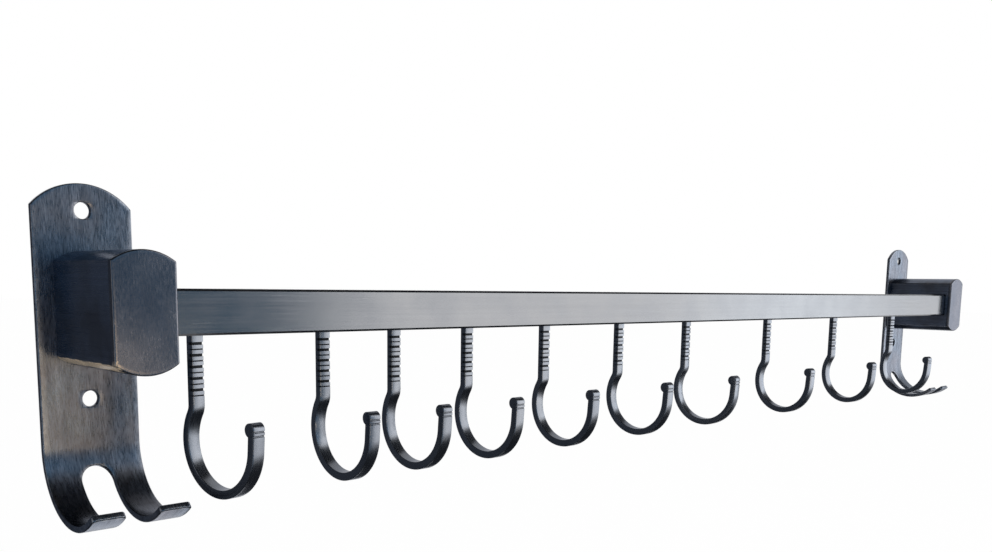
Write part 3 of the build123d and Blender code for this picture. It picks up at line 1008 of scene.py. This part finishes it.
def seen_directly(tree):
    """Socket that is one for camera, glossy and transmission rays and nothing for the rest."""
    rays = add_node(tree, "ShaderNodeLightPath").outputs
    both = reckon(tree, "ADD", rays["Is Camera Ray"], rays["Is Glossy Ray"])
    return reckon(tree, "ADD", both, rays["Is Transmission Ray"], clamp=True)


def bare_material(name):
    """Material without a shader, with its node tree and the socket that a shader goes into."""
    material = bpy.data.materials.new(name)
    material.use_nodes = True
    tree = material.node_tree
    tree.nodes.remove(tree.nodes["Principled BSDF"])
    return material, tree, tree.nodes["Material Output"].inputs["Surface"]


def plain_glow(name, tone, level=1.0):
    """Even tone that takes no shading."""
    material, tree, surface = bare_material(name)
    glow = add_node(tree, "ShaderNodeEmission", {"Color": opaque(tone), "Strength": level}).outputs[0]
    tree.links.new(glow, surface)
    return material


def level_corners(height, depths, front_ends, back_ends=None):
    """Corners of a card that lies level, from the left and right ends of its front and back edges."""
    ends = front_ends + (back_ends or front_ends)[::-1]
    return [(x, y, height) for x, y in zip(ends, np.repeat(depths, 2).tolist())]


def upright_corners(depth, heights, low_ends, high_ends=None):
    """Corners of a card that stands along the wall: a level one with depth and height changed round."""
    return [(x, y, z) for x, z, y in level_corners(depth, heights, low_ends, high_ends)]


def flat_card(name, corners, material):
    """Four-cornered card of the studio."""
    mesh = bpy.data.meshes.new(name)
    mesh.from_pydata(corners, [], [(0, 1, 2, 3)])
    mesh.materials.append(material)
    card = bpy.data.objects.new(name, mesh)
    bpy.context.scene.collection.objects.link(card)
    return card


def white_surroundings(scene, stage):
    """World that looks white, and lights dull surfaces a little less."""
    world = bpy.data.worlds.new("surroundings")
    world.use_nodes = True
    tree = world.node_tree
    back = tree.nodes["Background"]
    back.inputs["Color"].default_value = opaque(WHITE)
    level = remap(tree, seen_directly(tree), (0.0, 1.0), (stage.fill, 1.0))
    tree.links.new(level, back.inputs["Strength"])
    scene.world = world


def white_floor(stage):
    """Wide floor that looks almost plain white and still takes a shadow."""
    material, tree, surface = bare_material("floor_white")
    dull = add_node(tree, "ShaderNodeBsdfDiffuse", {"Color": opaque(stage.floor_dull)}).outputs[0]
    glow = add_node(tree, "ShaderNodeEmission", {"Color": opaque(WHITE), "Strength": 1.0}).outputs[0]
    amount = remap(tree, seen_directly(tree), (0.0, 1.0), (0.0, stage.floor_white))
    mixed = add_node(tree, "ShaderNodeMixShader", {0: amount, 1: dull, 2: glow}).outputs[0]
    tree.links.new(mixed, surface)
    far = 40.0
    flat_card("floor", level_corners(-stage.floor_drop, (-far, far), (-far, far)), material)


def reflected_cards(stage):
    """Cards that only the metal sees.

    Dark cards lie above and on the floor. A dim one stands on the left behind the wall. In front on the
    left, up to the first lamp, stand a cool card, a brighter one over it and a dark one at the top. A
    bright piece of floor lights the left tines, and a small warm card the lower left plate.
    """
    dark = plain_glow("card_dark", stage.card_dark)
    dim = plain_glow("card_dim", stage.card_dim)
    cool = plain_glow("card_cool", stage.card_cool)
    sky = plain_glow("card_sky", stage.card_cool, stage.card_sky_level)
    warm = plain_glow("card_warm", stage.card_warm, stage.card_warm_level)
    white = plain_glow("card_floor", WHITE, stage.card_floor_level)

    # Heights, and then places out from the wall
    ground = 0.005 - stage.floor_drop
    sky_low = 0.17
    sky_high = 0.75
    ceiling = 1.2
    warm_heights = (-0.25, -0.08)
    room = -stage.lamp_front
    warm_depth = room + 0.02
    below_front = room + 0.05
    foot = -0.06
    above_back = 0.3
    behind = 0.9
    above_left_back = 1.2

    # Places along the wall
    far_left = -3.5
    front_ends = (far_left, stage.lamp_edges[0])
    left_end = -0.3
    above_left, above_split, above_right = (-2.5, 0.4, 2.5)
    below_left, below_right = (-2.0, 1.7)
    tine_left = -0.1
    tine_right = 0.09
    tine_right_behind = 0.29
    warm_left, warm_right_low, warm_right_high = (-0.5, 0.17, 0.03)

    ground_depths = (foot, behind)
    under_front = (tine_right, below_right)
    under_back = (tine_right_behind, below_right)
    tine_front = (tine_left, tine_right)
    tine_back = (tine_left, tine_right_behind)
    warm_low = (warm_left, warm_right_low)
    warm_high = (warm_left, warm_right_high)
    cards = (
        ("card_above_left", dark, level_corners(ceiling, (room, above_left_back), (above_left, above_split))),
        ("card_above", dark, level_corners(ceiling, (room, above_back), (above_split, above_right))),
        ("card_below", dark, level_corners(ground, (below_front, foot), (below_left, below_right))),
        ("card_left", dim, upright_corners(behind, (ground, ceiling), (far_left, left_end))),
        ("card_under", dark, level_corners(ground, ground_depths, under_front, under_back)),
        ("card_corner", dark, level_corners(ground, ground_depths, (far_left, tine_left))),
        ("card_floor", white, level_corners(ground, ground_depths, tine_front, tine_back)),
        ("card_front", cool, upright_corners(room, (ground, sky_low), front_ends)),
        ("card_sky", sky, upright_corners(room, (sky_low, sky_high), front_ends)),
        ("card_high", dark, upright_corners(room, (sky_high, ceiling), front_ends)),
        ("card_warm", warm, upright_corners(warm_depth, warm_heights, warm_low, warm_high)),
    )
    for name, material, corners in cards:
        card = flat_card(name, corners, material)
        card.visible_camera = False
        card.visible_diffuse = False
        card.visible_shadow = False
        card.visible_transmission = False


def soft_lamp(name, middle, width, height, level, tone):
    """Rectangular lamp with its middle in the room, facing the wall, and its brightness given per area."""
    power = 4.0  # of a square metre at level one
    lamp = bpy.data.lights.new(name, "AREA")
    lamp.shape = "RECTANGLE"
    lamp.size = width
    lamp.size_y = height
    lamp.energy = power * level * width * height
    lamp.color = tone
    holder = bpy.data.objects.new(name, lamp)
    bpy.context.scene.collection.objects.link(holder)
    holder.matrix_world = Matrix.Translation(middle) @ Matrix.Rotation(math.pi / 2, 4, "X")


def row_of_lamps(stage):
    """Four lamps side by side in front of the wall, the second with a cool cast."""
    tones = (WHITE, stage.lamp_cool, WHITE, WHITE)
    for number, (level, tone) in enumerate(zip(stage.lamp_levels, tones)):
        left, right = stage.lamp_edges[number:number + 2]
        middle = ((left + right) / 2, -stage.lamp_front, stage.lamp_middle)
        soft_lamp(f"lamp_{number + 1}", middle, right - left, stage.lamp_height, level, tone)


def set_camera(scene, stage):
    """Camera near the left end of the rack, turned, tilted and rolled about its place."""
    camera = bpy.data.cameras.new("camera")
    camera.lens = stage.lens
    camera.sensor_width = 36.0
    camera.shift_y = stage.rise
    camera.clip_start = 0.01
    camera.clip_end = 200.0
    holder = bpy.data.objects.new("camera", camera)
    scene.collection.objects.link(holder)
    yaw = Matrix.Rotation(-stage.camera_yaw, 4, "Z")
    pitch = Matrix.Rotation(math.pi / 2 + stage.camera_pitch, 4, "X")
    roll = Matrix.Rotation(stage.camera_roll, 4, "Z")
    holder.matrix_world = Matrix.Translation(stage.camera_place) @ yaw @ pitch @ roll
    scene.camera = holder


class RACK_OT_stage(bpy.types.Operator):
    """Camera, lamps, cards, white surroundings and floor"""

    bl_idname = "rack.stage"
    bl_label = "Studio"

    def execute(self, context):
        scene = context.scene
        stage = scene.rack_stage
        scene.view_settings.view_transform = "Standard"
        white_surroundings(scene, stage)
        white_floor(stage)
        reflected_cards(stage)
        row_of_lamps(stage)
        set_camera(scene, stage)
        return {"FINISHED"}


STEPS = (
    RACK_OT_plates, RACK_OT_boxes, RACK_OT_caps, RACK_OT_rail, RACK_OT_hooks, RACK_OT_screws, RACK_OT_stage,
)


class RACK_PT_panel(bpy.types.Panel):
    """Sidebar panel with one button per step"""

    bl_idname = "RACK_PT_panel"
    bl_label = "Kitchen wall rack"
    bl_space_type = "VIEW_3D"
    bl_region_type = "UI"
    bl_category = "Rack"

    def draw(self, context):
        for step in STEPS:
            self.layout.operator(step.bl_idname)


GROUPS = (RackSizes, RackColours, RackStage)


def register():
    """Register the groups, the operators and the panel."""
    for group in GROUPS + STEPS + (RACK_PT_panel,):
        bpy.utils.register_class(group)
    bpy.types.Scene.rack_sizes = bpy.props.PointerProperty(type=RackSizes)
    bpy.types.Scene.rack_colours = bpy.props.PointerProperty(type=RackColours)
    bpy.types.Scene.rack_stage = bpy.props.PointerProperty(type=RackStage)


def unregister():
    """Take everything out again, last in first out."""
    del bpy.types.Scene.rack_stage
    del bpy.types.Scene.rack_colours
    del bpy.types.Scene.rack_sizes
    for group in reversed(GROUPS + STEPS + (RACK_PT_panel,)):
        bpy.utils.unregister_class(group)


def main():
    """Run every step in order."""
    register()
    bpy.ops.rack.plates()
    bpy.ops.rack.boxes()
    bpy.ops.rack.caps()
    bpy.ops.rack.rail()
    bpy.ops.rack.hooks()
    bpy.ops.rack.screws()
    bpy.ops.rack.stage()


if __name__ == "__main__":
    main()
